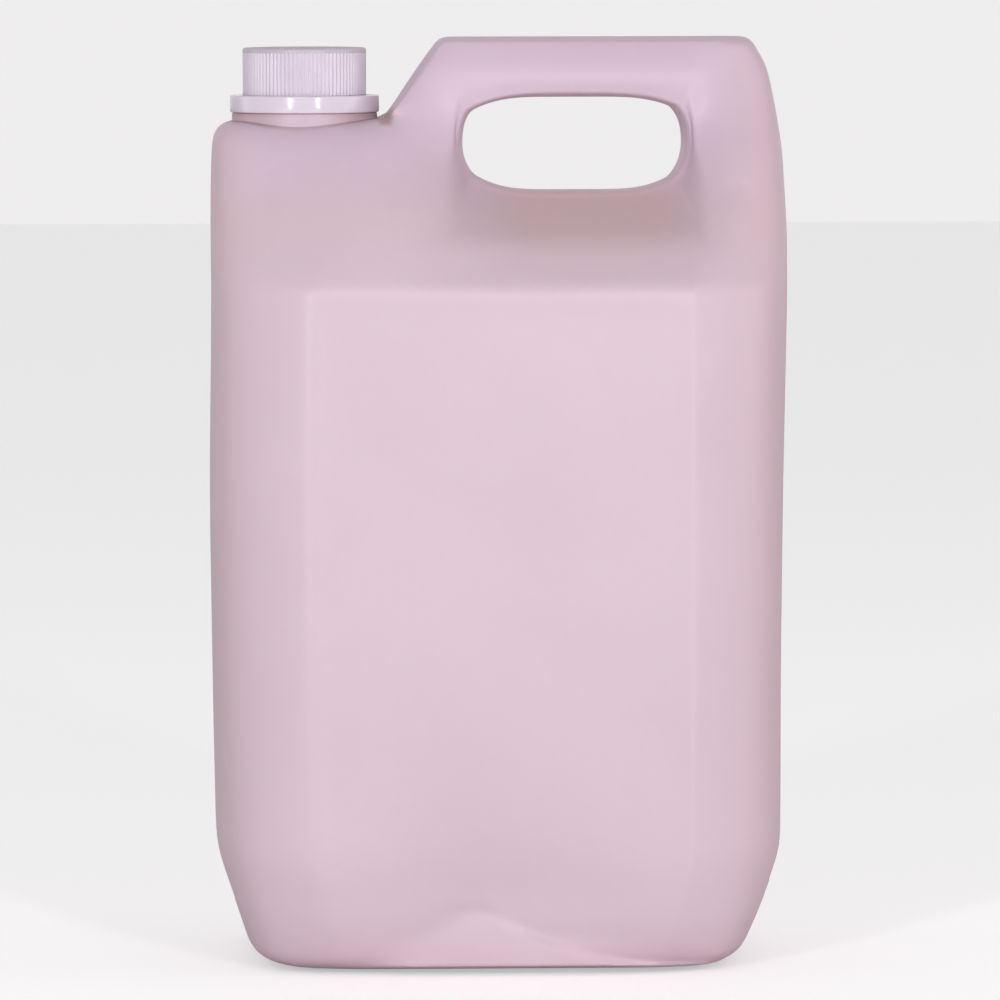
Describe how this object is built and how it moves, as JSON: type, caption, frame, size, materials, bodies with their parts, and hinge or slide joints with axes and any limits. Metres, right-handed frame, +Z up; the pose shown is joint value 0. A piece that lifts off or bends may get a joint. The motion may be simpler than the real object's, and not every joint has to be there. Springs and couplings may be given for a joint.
{
  "type": "hand soap refill pack",
  "caption": "Plastic jerry can of liquid hand soap with an integral handle round a hand hole and a ribbed screw cap over a plain neck ring.",
  "frame": {"origin": "middle of the can's flat underside, at the centre of its box in plan", "axes": "+Z up along the can's height, X across its width with the cap at -X and the handle at +X, Y through its depth"},
  "size_m": [0.1843, 0.136, 0.294],
  "materials": {
    "soap_tinted_hdpe": "soft satin blow-moulded natural polyethylene, tinted by the pink soap behind it",
    "pink_soap": "still surface of pearly pink liquid soap",
    "ring_white": "smooth glossy off-white moulding",
    "liner_foam": "matt white foam",
    "cap_white": "satin off-white injection moulding with fine ribs"
  },
  "bodies": {
    "can": {"can_body": "soap_tinted_hdpe", "soap_fill": "pink_soap", "tamper_ring": "ring_white"},
    "liner": {"cap_liner": "liner_foam"},
    "cap": {"screw_cap": "cap_white"}
  },
  "joints": [
    {"name": "cap_lift", "type": "slide", "parent": "can", "child": "liner", "axis": [0, 0, 1], "range_m": [0, 0.0141]},
    {"name": "cap_turn", "type": "hinge", "parent": "liner", "child": "cap", "pos_m": [-0.0618, 0, 0.2751], "axis": [0, 0, 1], "range_deg": [0, 1260]}
  ],
  "couplings": [
    {"joint": "cap_lift", "follows": "cap_turn", "m_per_rad": 0.00063662}
  ]
}
